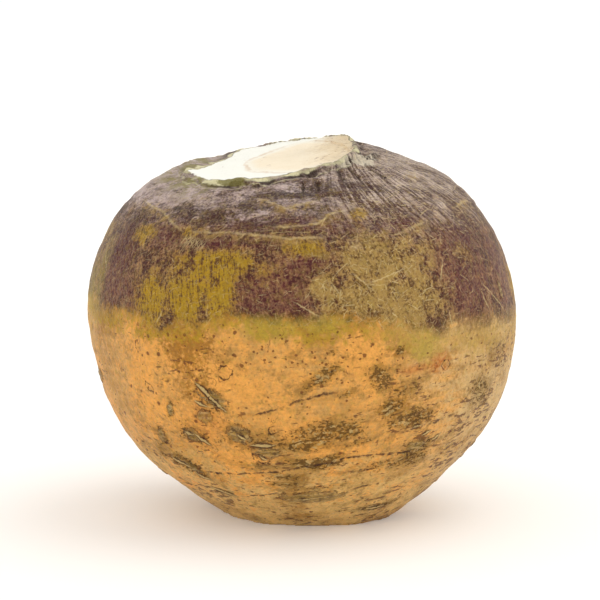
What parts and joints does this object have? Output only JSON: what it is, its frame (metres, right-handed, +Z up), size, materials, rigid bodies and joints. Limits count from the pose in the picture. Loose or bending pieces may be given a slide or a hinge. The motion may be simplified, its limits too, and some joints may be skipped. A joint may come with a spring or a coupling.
{
  "type": "rutabaga",
  "caption": "Whole rutabaga root, purple shoulders over an orange-tan lower half, with a slanting knife cut across the crown and a trimmed flat tail that it stands on.",
  "frame": {"origin": "on the trimmed tail face's level, under the middle of the root's box", "axes": "+Z up from the trimmed tail to the crown, -Y towards the side that the crown cut falls to, +X towards the high end of the crown cut"},
  "size_m": [0.1248, 0.1204, 0.1094],
  "materials": {
    "root_skin": null
  },
  "bodies": {
    "root": {"rutabaga": "root_skin"}
  },
  "joints": []
}
